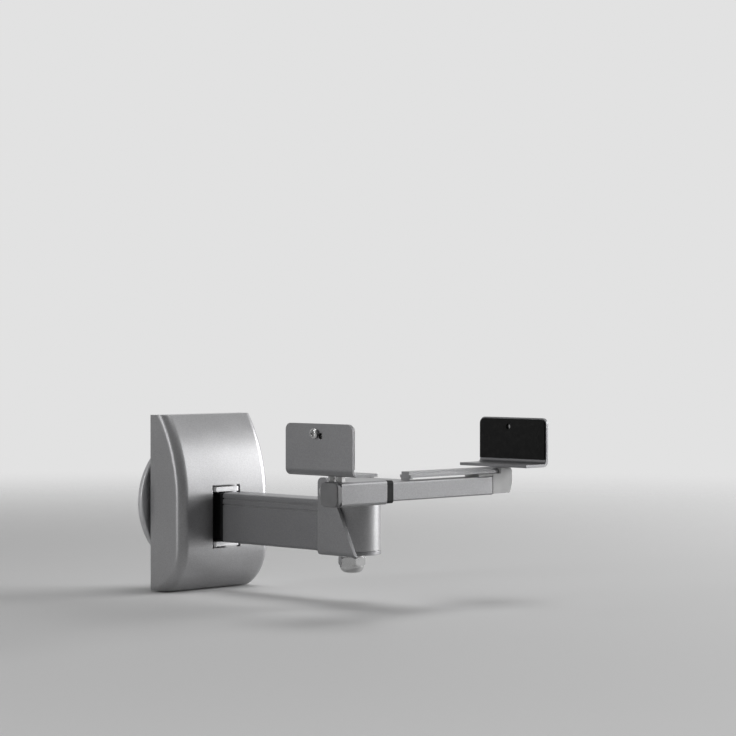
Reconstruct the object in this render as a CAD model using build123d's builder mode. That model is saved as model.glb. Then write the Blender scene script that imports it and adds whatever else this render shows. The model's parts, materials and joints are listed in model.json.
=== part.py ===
import os
from math import cos, radians, sqrt

from build123d import *

# Side-clamping wall bracket, in millimetres
# The wall is the plane Y = 0, the room lies towards -Y, Z is up and X = 0 is the middle plane
# A reach is a distance from the wall into the room

# Clearances
fit_gap = 0.05
run_gap = 0.3
thrust_gap = 0.1
plug_gap = 0.1

# Shares of a head's own size
hex_bevel = 0.8
rivet_dome = 0.8
cap_dome = 0.9
recess_length = 0.62
recess_width = 0.16
recess_depth = 0.5

# Round wall plate
plate_radius = 50.0
plate_thickness = 4.3
plate_round = 1.5
wall_hole_radius = 2.75
wall_hole_half_x = 20.0
wall_hole_half_z = 32.0

# Bowed wall cover
cover_width = 87.6
cover_height = 129.0
cover_depth = 34.7
cover_back_gap = 2.5
cover_upper_radius = 110.0
cover_upper_drop = 62.5
cover_lower_radius = 36.0
cover_lower_rise = 31.5
cover_wall = 2.5
cover_edge_radius = 7.0
cover_boss_radius = 4.0
cover_boss_half_x = 35.0
cover_boss_half_z = 18.0
cover_screw_radius = 1.5
cover_screw_length = 14.0
cover_screw_head_radius = 2.8
window_gap = 1.3

# Arm tube
arm_width = 24.0
arm_height = 36.0
arm_wall = 2.0
arm_corner = 2.0
arm_middle_z = -10.5
arm_start = 51.0
arm_length = 100.7
groove_drops = (4.0, 8.3)
groove_width = 1.2
groove_depth = 0.7
plug_length = 22.0
rivet_radius = 2.0
rivet_head_radius = 3.6
rivet_head_height = 1.2

# Wall-side pivot
bracket_width = 24.6
bracket_thickness = 3.5
bracket_screw_radius = 2.0
bracket_screw_head_radius = 3.6
bracket_screw_head_height = 2.4
bracket_screw_half_x = 7.0
bracket_screw_half_z = 11.0
ear_reach = 42.0
ear_corner = 2.0
pivot_reach = 25.0
pivot_radius = 4.0
pivot_head_across = 13.0
pivot_head_height = 5.3
pivot_nut_height = 6.5
knuckle_radius = 11.0
knuckle_neck_width = 12.0
knuckle_collar = 3.0
pivot_washer_thickness = 1.6
pivot_washer_radius = 10.0

# Swivel at the front end of the arm
barrel_radius = 20.3
barrel_top_drop = 2.5
barrel_seat = 0.5
barrel_chamfer = 0.2
barrel_bottom_rise = 1.2
swivel_radius = 5.0
swivel_nut_across = 17.0
lock_nut_height = 5.0
lock_pocket_margin = 0.7
cap_nut_height = 6.0
cap_dome_height = 5.2
swivel_washer_radius = 9.4
swivel_washer_thickness = 2.0

# Folded yoke
yoke_thickness = 2.5
yoke_inside_gap = 0.3
yoke_bend = 0.5
yoke_rear = 10.5
yoke_front = 26.0
yoke_right_front = 5.5
yoke_top_z = 24.0
yoke_top_length = 8.6
yoke_corner = 4.0

# Tilt axle
tilt_setback = 3.0
tilt_z = 14.0
tilt_radius = 3.0
tilt_head_radius = 4.6
tilt_head_height = 2.6
tilt_nut_across = 10.0
tilt_nut_height = 5.0

# Folded cradle between tilt axle and bar
cradle_thickness = 2.4
cradle_lug_radius = 6.0
cradle_top_z = 22.5
cradle_skirt_z = 11.0
cradle_screw_radius = 2.0
cradle_screw_head_radius = 3.5
cradle_screw_head_height = 2.2
cradle_screw_half_x = 11.0

# Telescopic clamp bar
bar_ahead = 68.75
bar_z = 17.9
sleeve_depth = 16.5
sleeve_height = 16.2
sleeve_wall = 1.4
sleeve_corner = 2.0
sleeve_inset = 12.0
sleeve_length = 42.3
collar_length = 6.5
collar_step = 0.5
cap_thickness = 4.0
cap_corner = 4.0
cap_round = 1.0
cap_plug = 3.0
bar_wall = 1.5
bar_corner = 1.0
bar_left_gap = 11.5
bar_right_inset = 32.0
lock_radius = 2.5
lock_head_across = 8.0
lock_head_height = 3.5
lock_inset = 6.0

# Guide block and slide rail at the right
block_length = 20.2
block_margin = 0.2
block_drop = 0.5
block_bottom_rise = 2.4
block_round = 3.5
block_slope_run = 2.8
block_slope_rise = 7.0
block_relief = 8.0
block_tongue = 14.5
block_plug = 12.0
rail_length = 99.8
rail_foot_lap = 10.0
rail_base_width = 9.8
rail_base_height = 2.0
rail_web_width = 7.0
shoe_length = 3.0
shoe_width = 8.0

# Jaws
jaw_gap = 186.5
clamp_offset = 1.75
jaw_thickness = 2.0
jaw_width = 62.0
jaw_setback = 1.2
jaw_foot = 23.5
jaw_flange = 32.1
jaw_bend = 2.5
jaw_corner = 4.5
jaw_standoff = 4.4
pad_thickness = 1.5
pad_margin = 1.0
stud_radius = 1.5
stud_half_spacing = 3.6
stud_inset = 8.0
stud_nut_across = 5.5
jaw_rivet_inset = 2.7
jaw_rivet_spacing = 4.5
grip_radius = 2.0
grip_head_radius = 3.5
grip_head_height = 2.4
grip_drop = 6.5
grip_back = 3.2
eyelet_radius = 2.0
eyelet_drop = 8.0
eyelet_ahead = 1.9

# Levels and reaches that follow from the sizes above
cover_back = plate_thickness + cover_back_gap
cover_front = cover_back + cover_depth
cover_flat_top = cover_height / 2 - cover_upper_drop
cover_flat_bottom = cover_lower_rise - cover_height / 2
arm_bottom = arm_middle_z - arm_height / 2
arm_top = arm_middle_z + arm_height / 2
arm_end = arm_start + arm_length
swivel_reach = arm_end + barrel_radius + barrel_seat
barrel_top = arm_top - barrel_top_drop
lock_floor = barrel_top - lock_nut_height - barrel_seat
yoke_inside = barrel_radius + yoke_inside_gap
yoke_outside = yoke_inside + yoke_thickness
barrel_bottom = arm_bottom + barrel_bottom_rise
web_top = barrel_bottom - thrust_gap
web_bottom = web_top - yoke_thickness
tilt_reach = swivel_reach - tilt_setback
cradle_outside = yoke_inside - run_gap
cradle_inside = cradle_outside - cradle_thickness
bar_reach = tilt_reach + bar_ahead
bar_depth = sleeve_depth - 2 * (sleeve_wall + run_gap)
bar_height = sleeve_height - 2 * (sleeve_wall + run_gap)
bar_top = bar_z + bar_height / 2
bar_rear = bar_reach - bar_depth / 2
sleeve_top = bar_z + sleeve_height / 2
sleeve_bottom = bar_z - sleeve_height / 2
foot_bottom = sleeve_top + jaw_standoff
foot_top = foot_bottom + jaw_thickness
rail_bottom = sleeve_top + run_gap
left_face = jaw_gap / 2 - clamp_offset
right_face = jaw_gap / 2 + clamp_offset
left_outside = left_face + pad_thickness + jaw_thickness
right_outside = right_face + pad_thickness + jaw_thickness
left_stud_x = left_outside - jaw_foot + stud_inset
right_rivet_x = right_outside - jaw_foot + jaw_rivet_inset
jaw_reach = bar_reach - jaw_setback
sleeve_outer_x = left_outside - sleeve_inset
bar_left_x = sleeve_outer_x - bar_left_gap
bar_right_x = right_outside - bar_right_inset
rail_end = right_outside - jaw_foot + rail_foot_lap
block_depth = bar_depth + 2 * block_margin
block_top = foot_bottom - block_drop
flange_top = foot_bottom + jaw_flange + jaw_thickness
grip_z = flange_top - grip_drop
ear_inner_top = arm_top + run_gap
ear_inner_bottom = arm_bottom - run_gap
ear_outer_top = ear_inner_top + bracket_thickness
ear_outer_bottom = ear_inner_bottom - bracket_thickness
knuckle_height = arm_height - 2 * pivot_washer_thickness

# Side plane with reach to the right and height upwards
side = Plane(origin=(0, 0, 0), x_dir=(0, -1, 0), z_dir=(-1, 0, 0))


def front(reach):
    """Plane that faces the room at a reach from the wall."""
    return Plane.XZ.offset(reach)


def bow_reach(height, inset):
    """Reach of the cover's front at a height, drawn in by inset."""
    radius = cover_lower_radius
    offset = cover_flat_bottom - height
    if height > cover_flat_top:
        radius = cover_upper_radius
        offset = height - cover_flat_top
    if offset <= 0:
        return cover_front - inset
    return cover_front - radius + sqrt((radius - inset) ** 2 - offset**2)


def bow_point(height, inset):
    """Point on the cover's front at a height, as reach and height."""
    return (bow_reach(height, inset), height)


def cover_form(inset, back):
    """Bowed form of the wall cover, drawn in by inset, from a reach at its back."""
    top = cover_height / 2 - inset
    bottom = -top
    with BuildPart() as form:
        with BuildSketch(side):
            with BuildLine():
                Line((back, top), (back, bottom))
                Line((back, bottom), bow_point(bottom, inset))
                ThreePointArc(
                    bow_point(bottom, inset),
                    bow_point((bottom + cover_flat_bottom) / 2, inset),
                    bow_point(cover_flat_bottom, inset),
                )
                Line(bow_point(cover_flat_bottom, inset), bow_point(cover_flat_top, inset))
                ThreePointArc(
                    bow_point(cover_flat_top, inset),
                    bow_point((top + cover_flat_top) / 2, inset),
                    bow_point(top, inset),
                )
                Line(bow_point(top, inset), (back, top))
            make_face()
        extrude(amount=cover_width / 2 - inset, both=True)
        flats = form.edges().filter_by(Axis.Z).group_by(Axis.Y)[0]
        fillet(form.edges().filter_by(GeomType.CIRCLE) + flats, radius=cover_edge_radius - inset)
    return form.part


def hex_prism(across, height, plane):
    """Hexagonal head or nut that stands on a plane, with its corners turned down."""
    corner = across / 2 / cos(radians(30))
    with BuildPart() as prism:
        with BuildSketch(plane):
            Circle(corner)
        extrude(amount=height)
        chamfer(prism.edges().filter_by(GeomType.CIRCLE), (corner - across / 2) * hex_bevel)
        with BuildSketch(plane):
            RegularPolygon(across / 2, 6, major_radius=False)
        extrude(amount=height, mode=Mode.INTERSECT)
    return prism.part


def cross_recess(head_radius):
    """Cross-shaped outline of a screwdriver recess in the current sketch."""
    Rectangle(2 * recess_length * head_radius, 2 * recess_width * head_radius)
    Rectangle(2 * recess_width * head_radius, 2 * recess_length * head_radius)


# Wall plate
with BuildPart() as wall_plate:
    with BuildSketch(front(0)):
        Circle(plate_radius)
        with GridLocations(2 * wall_hole_half_x, 2 * wall_hole_half_z, 2, 2):
            Circle(wall_hole_radius, mode=Mode.SUBTRACT)
        with GridLocations(2 * cover_boss_half_x, 2 * cover_boss_half_z, 2, 2):
            Circle(cover_screw_radius + fit_gap, mode=Mode.SUBTRACT)
        with Locations((0, arm_middle_z)):
            with GridLocations(2 * bracket_screw_half_x, 2 * bracket_screw_half_z, 2, 2):
                Circle(bracket_screw_radius, mode=Mode.SUBTRACT)
    extrude(amount=plate_thickness)
    rim = wall_plate.faces().sort_by(Axis.Y)[0].outer_wire().edges()
    fillet(rim, radius=plate_round)
    with BuildSketch(front(0)):
        with GridLocations(2 * cover_boss_half_x, 2 * cover_boss_half_z, 2, 2):
            Circle(cover_screw_head_radius + fit_gap)
    extrude(amount=plate_thickness / 2, mode=Mode.SUBTRACT)

# Wall cover
window_width = bracket_width + 2 * window_gap
window_height = ear_outer_top - ear_outer_bottom + 2 * window_gap
with BuildPart() as boss_set:
    with BuildSketch(front(plate_thickness)):
        with GridLocations(2 * cover_boss_half_x, 2 * cover_boss_half_z, 2, 2):
            Circle(cover_boss_radius)
    extrude(amount=cover_front)
    add(cover_form(cover_wall / 2, plate_thickness), mode=Mode.INTERSECT)
with BuildPart() as wall_cover:
    add(cover_form(0, cover_back))
    add(cover_form(cover_wall, cover_back), mode=Mode.SUBTRACT)
    add(boss_set.part)
    with BuildSketch(front(plate_thickness)):
        with Locations((0, (ear_outer_top + ear_outer_bottom) / 2)):
            Rectangle(window_width, window_height)
    extrude(amount=cover_front, mode=Mode.SUBTRACT)
    with BuildSketch(front(plate_thickness)):
        with GridLocations(2 * cover_boss_half_x, 2 * cover_boss_half_z, 2, 2):
            Circle(cover_screw_radius)
    extrude(amount=cover_screw_length, mode=Mode.SUBTRACT)

# Screws from behind the plate into the cover's bosses
with BuildPart() as cover_screws:
    with BuildSketch(front(0)):
        with GridLocations(2 * cover_boss_half_x, 2 * cover_boss_half_z, 2, 2):
            Circle(cover_screw_head_radius)
    extrude(amount=plate_thickness / 2)
    with BuildSketch(front(plate_thickness / 2)):
        with GridLocations(2 * cover_boss_half_x, 2 * cover_boss_half_z, 2, 2):
            Circle(cover_screw_radius - fit_gap)
    extrude(amount=cover_screw_length)
    with BuildSketch(front(0)):
        with GridLocations(2 * cover_boss_half_x, 2 * cover_boss_half_z, 2, 2):
            cross_recess(cover_screw_head_radius)
    extrude(amount=plate_thickness / 2 * recess_depth, mode=Mode.SUBTRACT)

# Folded bracket on the wall plate, with an ear above and below the arm
web_front = plate_thickness + bracket_thickness
with BuildPart() as root_bracket:
    with BuildSketch(side):
        with Locations((plate_thickness, ear_outer_bottom)):
            Rectangle(
                ear_reach - plate_thickness,
                ear_outer_top - ear_outer_bottom,
                align=(Align.MIN, Align.MIN),
            )
        with Locations((web_front, ear_inner_bottom)):
            Rectangle(
                ear_reach,
                ear_inner_top - ear_inner_bottom,
                align=(Align.MIN, Align.MIN),
                mode=Mode.SUBTRACT,
            )
    extrude(amount=bracket_width / 2, both=True)
    ear_ends = root_bracket.edges().filter_by(Axis.Z).group_by(Axis.Y)[0]
    fillet(ear_ends, radius=ear_corner)
    with BuildSketch(Plane.XY.offset(ear_outer_bottom)):
        with Locations((0, -pivot_reach)):
            Circle(pivot_radius + fit_gap)
    extrude(amount=ear_outer_top - ear_outer_bottom, mode=Mode.SUBTRACT)
    with BuildSketch(front(plate_thickness)):
        with Locations((0, arm_middle_z)):
            with GridLocations(2 * bracket_screw_half_x, 2 * bracket_screw_half_z, 2, 2):
                Circle(bracket_screw_radius)
    extrude(amount=bracket_thickness, mode=Mode.SUBTRACT)

with BuildPart() as bracket_screws:
    with BuildSketch(front(0)):
        with Locations((0, arm_middle_z)):
            with GridLocations(2 * bracket_screw_half_x, 2 * bracket_screw_half_z, 2, 2):
                Circle(bracket_screw_radius - fit_gap)
    extrude(amount=web_front)
    with BuildSketch(front(web_front)):
        with Locations((0, arm_middle_z)):
            with GridLocations(2 * bracket_screw_half_x, 2 * bracket_screw_half_z, 2, 2):
                Circle(bracket_screw_head_radius)
    extrude(amount=bracket_screw_head_height)
    crowns = bracket_screws.edges().group_by(Axis.Y)[0]
    fillet(crowns, radius=bracket_screw_head_height / 2)

# Pivot bolt and nut at the wall end
pivot_nut_z = ear_outer_bottom - pivot_nut_height
with BuildPart() as pivot_bolt:
    with BuildSketch(Plane.XY.offset(pivot_nut_z)):
        with Locations((0, -pivot_reach)):
            Circle(pivot_radius)
    extrude(amount=ear_outer_top - pivot_nut_z)
    add(hex_prism(pivot_head_across, pivot_head_height, Plane((0, -pivot_reach, ear_outer_top))))

with BuildPart() as pivot_nut:
    add(hex_prism(pivot_head_across, pivot_nut_height, Plane((0, -pivot_reach, pivot_nut_z))))
    with BuildSketch(Plane.XY.offset(pivot_nut_z)):
        with Locations((0, -pivot_reach)):
            Circle(pivot_radius + fit_gap)
    extrude(amount=pivot_nut_height, mode=Mode.SUBTRACT)

with BuildPart() as pivot_washers:
    for washer_bottom in (arm_bottom, arm_top - pivot_washer_thickness):
        with BuildSketch(Plane.XY.offset(washer_bottom)):
            with Locations((0, -pivot_reach)):
                Circle(pivot_washer_radius)
                Circle(pivot_radius + fit_gap, mode=Mode.SUBTRACT)
        extrude(amount=pivot_washer_thickness)

# Knuckle that turns on the pivot bolt and plugs into the arm tube
plug_width = arm_width - 2 * (arm_wall + plug_gap)
plug_height = arm_height - 2 * (arm_wall + plug_gap)
with BuildPart() as arm_knuckle:
    with BuildSketch(Plane.XY.offset(arm_bottom + pivot_washer_thickness)):
        with Locations((0, -pivot_reach)):
            Circle(knuckle_radius)
        with Locations((0, -(pivot_reach + arm_start) / 2)):
            Rectangle(knuckle_neck_width, arm_start - pivot_reach)
    extrude(amount=knuckle_height)
    with BuildSketch(front(arm_start - knuckle_collar)):
        with Locations((0, arm_middle_z)):
            RectangleRounded(arm_width, arm_height, arm_corner)
    extrude(amount=knuckle_collar)
    with BuildSketch(front(arm_start)):
        with Locations((0, arm_middle_z)):
            RectangleRounded(plug_width, plug_height, arm_corner / 2)
    extrude(amount=plug_length)
    with BuildSketch(Plane.XY.offset(arm_bottom)):
        with Locations((0, -pivot_reach)):
            Circle(pivot_radius + fit_gap)
    extrude(amount=arm_height, mode=Mode.SUBTRACT)
    with BuildSketch(Plane.XY.offset(arm_bottom)):
        with Locations((0, -(arm_start + plug_length / 2))):
            Circle(rivet_radius)
    extrude(amount=arm_height / 2, mode=Mode.SUBTRACT)

# Arm tube with two grooves along each side
with BuildPart() as arm_tube:
    with BuildSketch(front(arm_start)):
        with Locations((0, arm_middle_z)):
            RectangleRounded(arm_width, arm_height, arm_corner)
            RectangleRounded(
                arm_width - 2 * arm_wall,
                arm_height - 2 * arm_wall,
                arm_corner / 2,
                mode=Mode.SUBTRACT,
            )
        for groove_drop in groove_drops:
            with Locations((-arm_width / 2, arm_top - groove_drop), (arm_width / 2, arm_top - groove_drop)):
                Rectangle(2 * groove_depth, groove_width, mode=Mode.SUBTRACT)
    extrude(amount=arm_length)
    with BuildSketch(Plane.XY.offset(arm_bottom)):
        with Locations((0, -(arm_start + plug_length / 2)), (0, -(arm_end - plug_length / 2))):
            Circle(rivet_radius)
    extrude(amount=arm_wall, mode=Mode.SUBTRACT)

with BuildPart() as arm_rivets:
    rivet_spots = ((0, -(arm_start + plug_length / 2)), (0, -(arm_end - plug_length / 2)))
    with BuildSketch(Plane.XY.offset(arm_bottom - rivet_head_height)):
        with Locations(*rivet_spots):
            Circle(rivet_head_radius)
    extrude(amount=rivet_head_height)
    domes = arm_rivets.edges().group_by(Axis.Z)[0]
    fillet(domes, radius=rivet_head_height * rivet_dome)
    with BuildSketch(Plane.XY.offset(arm_bottom)):
        with Locations(*rivet_spots):
            Circle(rivet_radius - fit_gap)
    extrude(amount=plug_length / 2)

# Swivel barrel plugged into the front end of the arm tube
with BuildPart() as swivel_barrel:
    with BuildSketch(Plane.XY.offset(barrel_bottom)):
        with Locations((0, -swivel_reach)):
            Circle(barrel_radius)
    extrude(amount=barrel_top - barrel_bottom)
    chamfer(swivel_barrel.edges().filter_by(GeomType.CIRCLE), barrel_chamfer)
    with BuildSketch(Plane.XY.offset(barrel_bottom)):
        with Locations((0, -(arm_end + swivel_reach) / 2)):
            Rectangle(arm_width, swivel_reach - arm_end)
    extrude(amount=barrel_top - barrel_bottom)
    with BuildSketch(front(arm_end - plug_length)):
        with Locations((0, arm_middle_z)):
            RectangleRounded(plug_width, plug_height, arm_corner / 2)
    extrude(amount=plug_length)
    with BuildSketch(Plane.XY.offset(arm_bottom)):
        with Locations((0, -swivel_reach)):
            Circle(swivel_radius + fit_gap)
    extrude(amount=arm_height, mode=Mode.SUBTRACT)
    with BuildSketch(Plane.XY.offset(lock_floor)):
        with Locations((0, -swivel_reach)):
            Circle(swivel_nut_across / 2 / cos(radians(30)) + lock_pocket_margin)
    extrude(amount=arm_height, mode=Mode.SUBTRACT)
    with BuildSketch(Plane.XY.offset(arm_bottom)):
        with Locations((0, -(arm_end - plug_length / 2))):
            Circle(rivet_radius)
    extrude(amount=arm_height / 2, mode=Mode.SUBTRACT)

# Folded yoke that swivels under the barrel and carries the tilt axle
yoke_back = swivel_reach - yoke_rear
yoke_nose = swivel_reach + yoke_front
with BuildPart() as yoke:
    with BuildSketch(front(yoke_back)) as yoke_section:
        with Locations((0, web_bottom)):
            Rectangle(2 * yoke_outside, yoke_top_z - web_bottom, align=(Align.CENTER, Align.MIN))
        fillet(yoke_section.vertices().group_by(Axis.Y)[0], radius=yoke_bend + yoke_thickness)
    extrude(amount=yoke_rear + yoke_front)
    with BuildSketch(front(yoke_back)) as yoke_hollow:
        with Locations((0, web_top)):
            Rectangle(2 * yoke_inside, yoke_top_z - web_top, align=(Align.CENTER, Align.MIN))
        fillet(yoke_hollow.vertices().group_by(Axis.Y)[0], radius=yoke_bend)
    extrude(amount=yoke_rear + yoke_front, mode=Mode.SUBTRACT)
    with BuildSketch(side) as yoke_outline:
        with BuildLine():
            Polyline(
                (yoke_back, web_bottom),
                (yoke_back, yoke_top_z),
                (yoke_back + yoke_top_length, yoke_top_z),
                (yoke_nose, web_bottom),
                close=True,
            )
        make_face()
        fillet(yoke_outline.vertices().group_by(Axis.Y)[-1], radius=yoke_corner)
    extrude(amount=yoke_outside, both=True, mode=Mode.INTERSECT)
    with BuildSketch(Plane.XY.offset(web_bottom)):
        with Locations((0, -swivel_reach)):
            Rectangle(2 * yoke_inside, yoke_front, align=(Align.CENTER, Align.MAX))
            Circle(barrel_radius, mode=Mode.SUBTRACT)
            Circle(swivel_radius + fit_gap)
    extrude(amount=yoke_thickness + yoke_bend, mode=Mode.SUBTRACT)
    with BuildSketch(Plane.XY.offset(web_bottom)):
        with Locations((yoke_inside - yoke_bend, -swivel_reach - yoke_right_front)):
            Rectangle(yoke_outside, yoke_front, align=(Align.MIN, Align.MAX))
    extrude(amount=yoke_top_z - web_bottom, mode=Mode.SUBTRACT)
    with BuildSketch(side):
        with Locations((tilt_reach, tilt_z)):
            Circle(tilt_radius + fit_gap)
    extrude(amount=yoke_outside, both=True, mode=Mode.SUBTRACT)

# Swivel bolt with a lock nut in the barrel and a cap nut below
washer_bottom_z = web_bottom - swivel_washer_thickness
cap_bottom_z = washer_bottom_z - cap_nut_height
lock_nut_z = lock_floor + run_gap
with BuildPart() as swivel_bolt:
    with BuildSketch(Plane.XY.offset(cap_bottom_z)):
        with Locations((0, -swivel_reach)):
            Circle(swivel_radius)
    extrude(amount=lock_nut_z + lock_nut_height - cap_bottom_z)

with BuildPart() as swivel_washer:
    with BuildSketch(Plane.XY.offset(washer_bottom_z)):
        with Locations((0, -swivel_reach)):
            Circle(swivel_washer_radius)
            Circle(swivel_radius + fit_gap, mode=Mode.SUBTRACT)
    extrude(amount=swivel_washer_thickness)

dome_radius = swivel_nut_across / 2 - fit_gap
with BuildPart() as swivel_cap_nut:
    add(hex_prism(swivel_nut_across, cap_nut_height, Plane((0, -swivel_reach, cap_bottom_z))))
    with BuildSketch(Plane.XY.offset(cap_bottom_z)):
        with Locations((0, -swivel_reach)):
            Circle(dome_radius)
    extrude(amount=-cap_dome_height)
    fillet(swivel_cap_nut.edges().group_by(Axis.Z)[0], radius=cap_dome_height * cap_dome)
    with BuildSketch(Plane.XY.offset(cap_bottom_z)):
        with Locations((0, -swivel_reach)):
            Circle(swivel_radius + fit_gap)
    extrude(amount=cap_nut_height, mode=Mode.SUBTRACT)

with BuildPart() as swivel_lock_nut:
    add(hex_prism(swivel_nut_across, lock_nut_height, Plane((0, -swivel_reach, lock_nut_z))))
    with BuildSketch(Plane.XY.offset(lock_nut_z)):
        with Locations((0, -swivel_reach)):
            Circle(swivel_radius + fit_gap)
    extrude(amount=lock_nut_height, mode=Mode.SUBTRACT)

# Tilt axle with its head at the left and its nut at the right
with BuildPart() as tilt_bolt:
    with BuildSketch(Plane.YZ.offset(-yoke_outside - tilt_head_height)):
        with Locations((-tilt_reach, tilt_z)):
            Circle(tilt_head_radius)
    extrude(amount=tilt_head_height)
    fillet(tilt_bolt.edges().group_by(Axis.X)[0], radius=tilt_head_height / 2)
    with BuildSketch(Plane.YZ.offset(-yoke_outside)):
        with Locations((-tilt_reach, tilt_z)):
            Circle(tilt_radius)
    extrude(amount=2 * yoke_outside + tilt_nut_height)

tilt_nut_seat = Plane(origin=(yoke_outside, -tilt_reach, tilt_z), x_dir=(0, 1, 0), z_dir=(1, 0, 0))
with BuildPart() as tilt_nut:
    add(hex_prism(tilt_nut_across, tilt_nut_height, tilt_nut_seat))
    with BuildSketch(tilt_nut_seat):
        Circle(tilt_radius + fit_gap)
    extrude(amount=tilt_nut_height, mode=Mode.SUBTRACT)

# Folded cradle that turns on the axle and carries the bar
cradle_rear = tilt_reach - cradle_lug_radius
cradle_middle_z = (cradle_top_z - cradle_thickness + cradle_skirt_z) / 2
with BuildPart() as tilt_cradle:
    with BuildSketch(side):
        with Locations((tilt_reach, cradle_skirt_z)):
            Rectangle(
                bar_rear - tilt_reach,
                cradle_top_z - cradle_skirt_z,
                align=(Align.MIN, Align.MIN),
            )
        with Locations((cradle_rear, tilt_z)):
            Rectangle(cradle_lug_radius, cradle_top_z - tilt_z, align=(Align.MIN, Align.MIN))
        with Locations((tilt_reach, tilt_z)):
            Circle(cradle_lug_radius)
    extrude(amount=cradle_outside, both=True)
    folds = tilt_cradle.edges().filter_by(Axis.Y).group_by(Axis.Z)[-1]
    fillet(folds, radius=cradle_thickness)
    with BuildSketch(side):
        with Locations((cradle_rear, cradle_top_z - cradle_thickness)):
            Rectangle(
                bar_rear - cradle_rear - cradle_thickness,
                cradle_top_z,
                align=(Align.MIN, Align.MAX),
            )
    extrude(amount=cradle_inside, both=True, mode=Mode.SUBTRACT)
    with BuildSketch(side):
        with Locations((tilt_reach, tilt_z)):
            Circle(tilt_radius + fit_gap)
    extrude(amount=cradle_outside, both=True, mode=Mode.SUBTRACT)
    with BuildSketch(front(bar_rear)):
        with Locations((0, cradle_middle_z)):
            with GridLocations(2 * cradle_screw_half_x, 0, 2, 1):
                Circle(cradle_screw_radius)
    extrude(amount=-cradle_thickness, mode=Mode.SUBTRACT)

cradle_seat = bar_rear - cradle_thickness
with BuildPart() as cradle_screws:
    with BuildSketch(front(cradle_seat)):
        with Locations((0, cradle_middle_z)):
            with GridLocations(2 * cradle_screw_half_x, 0, 2, 1):
                Circle(cradle_screw_head_radius)
    extrude(amount=-cradle_screw_head_height)
    fillet(cradle_screws.edges().group_by(Axis.Y)[-1], radius=cradle_screw_head_height / 2)
    with BuildSketch(front(cradle_seat)):
        with Locations((0, cradle_middle_z)):
            with GridLocations(2 * cradle_screw_half_x, 0, 2, 1):
                Circle(cradle_screw_radius - fit_gap)
    extrude(amount=cradle_thickness + 2 * bar_wall)
    with BuildSketch(front(cradle_seat - cradle_screw_head_height)):
        with Locations((0, cradle_middle_z)):
            with GridLocations(2 * cradle_screw_half_x, 0, 2, 1):
                cross_recess(cradle_screw_head_radius)
    extrude(amount=cradle_screw_head_height * recess_depth, mode=Mode.SUBTRACT)

# Inner tube of the clamp bar
with BuildPart() as bar_tube:
    with BuildSketch(Plane.YZ.offset(-bar_left_x)):
        with Locations((-bar_reach, bar_z)):
            RectangleRounded(bar_depth, bar_height, bar_corner)
            RectangleRounded(
                bar_depth - 2 * bar_wall,
                bar_height - 2 * bar_wall,
                bar_corner / 2,
                mode=Mode.SUBTRACT,
            )
    extrude(amount=bar_left_x + bar_right_x)
    with BuildSketch(front(bar_rear)):
        with Locations((0, cradle_middle_z)):
            with GridLocations(2 * cradle_screw_half_x, 0, 2, 1):
                Circle(cradle_screw_radius)
    extrude(amount=bar_wall, mode=Mode.SUBTRACT)

# Outer sleeve that slides on the tube and carries the left jaw
sleeve_inner_x = sleeve_outer_x - sleeve_length
lock_x = -(sleeve_inner_x + lock_inset)
sleeve_rear = bar_reach - sleeve_depth / 2
hollow_depth = sleeve_depth - 2 * sleeve_wall
hollow_height = sleeve_height - 2 * sleeve_wall
left_studs = tuple((-left_stud_x, sign * stud_half_spacing - bar_reach) for sign in (-1, 1))
with BuildPart() as bar_sleeve:
    with BuildSketch(Plane.YZ.offset(-sleeve_outer_x)):
        with Locations((-bar_reach, bar_z)):
            RectangleRounded(sleeve_depth, sleeve_height, sleeve_corner)
            RectangleRounded(hollow_depth, hollow_height, sleeve_corner - sleeve_wall, mode=Mode.SUBTRACT)
    extrude(amount=sleeve_length)
    with BuildSketch(Plane.XY.offset(sleeve_top)):
        with Locations(*left_studs):
            Circle(stud_radius)
    extrude(amount=-sleeve_wall, mode=Mode.SUBTRACT)
    with BuildSketch(front(sleeve_rear)):
        with Locations((lock_x, bar_z)):
            Circle(lock_radius)
    extrude(amount=sleeve_wall, mode=Mode.SUBTRACT)

with BuildPart() as sleeve_collar:
    with BuildSketch(Plane.YZ.offset(-sleeve_inner_x)):
        with Locations((-bar_reach, bar_z)):
            RectangleRounded(sleeve_depth - 2 * collar_step, sleeve_height - 2 * collar_step, sleeve_corner)
            RectangleRounded(hollow_depth, hollow_height, sleeve_corner - sleeve_wall, mode=Mode.SUBTRACT)
    extrude(amount=collar_length)

with BuildPart() as sleeve_cap:
    with BuildSketch(Plane.YZ.offset(-sleeve_outer_x)):
        with Locations((-bar_reach, bar_z)):
            RectangleRounded(sleeve_depth, sleeve_height, cap_corner)
    extrude(amount=-cap_thickness)
    fillet(sleeve_cap.edges().group_by(Axis.X)[0], radius=cap_round)
    with BuildSketch(Plane.YZ.offset(-sleeve_outer_x)):
        with Locations((-bar_reach, bar_z)):
            RectangleRounded(
                hollow_depth - 2 * plug_gap,
                hollow_height - 2 * plug_gap,
                cap_corner - sleeve_wall,
            )
    extrude(amount=cap_plug)

lock_seat = Plane(origin=(lock_x, -sleeve_rear, bar_z), x_dir=(1, 0, 0), z_dir=(0, 1, 0))
with BuildPart() as sleeve_lock_screw:
    add(hex_prism(lock_head_across, lock_head_height, lock_seat))
    with BuildSketch(lock_seat):
        Circle(lock_radius - fit_gap)
    extrude(amount=-sleeve_wall)

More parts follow.
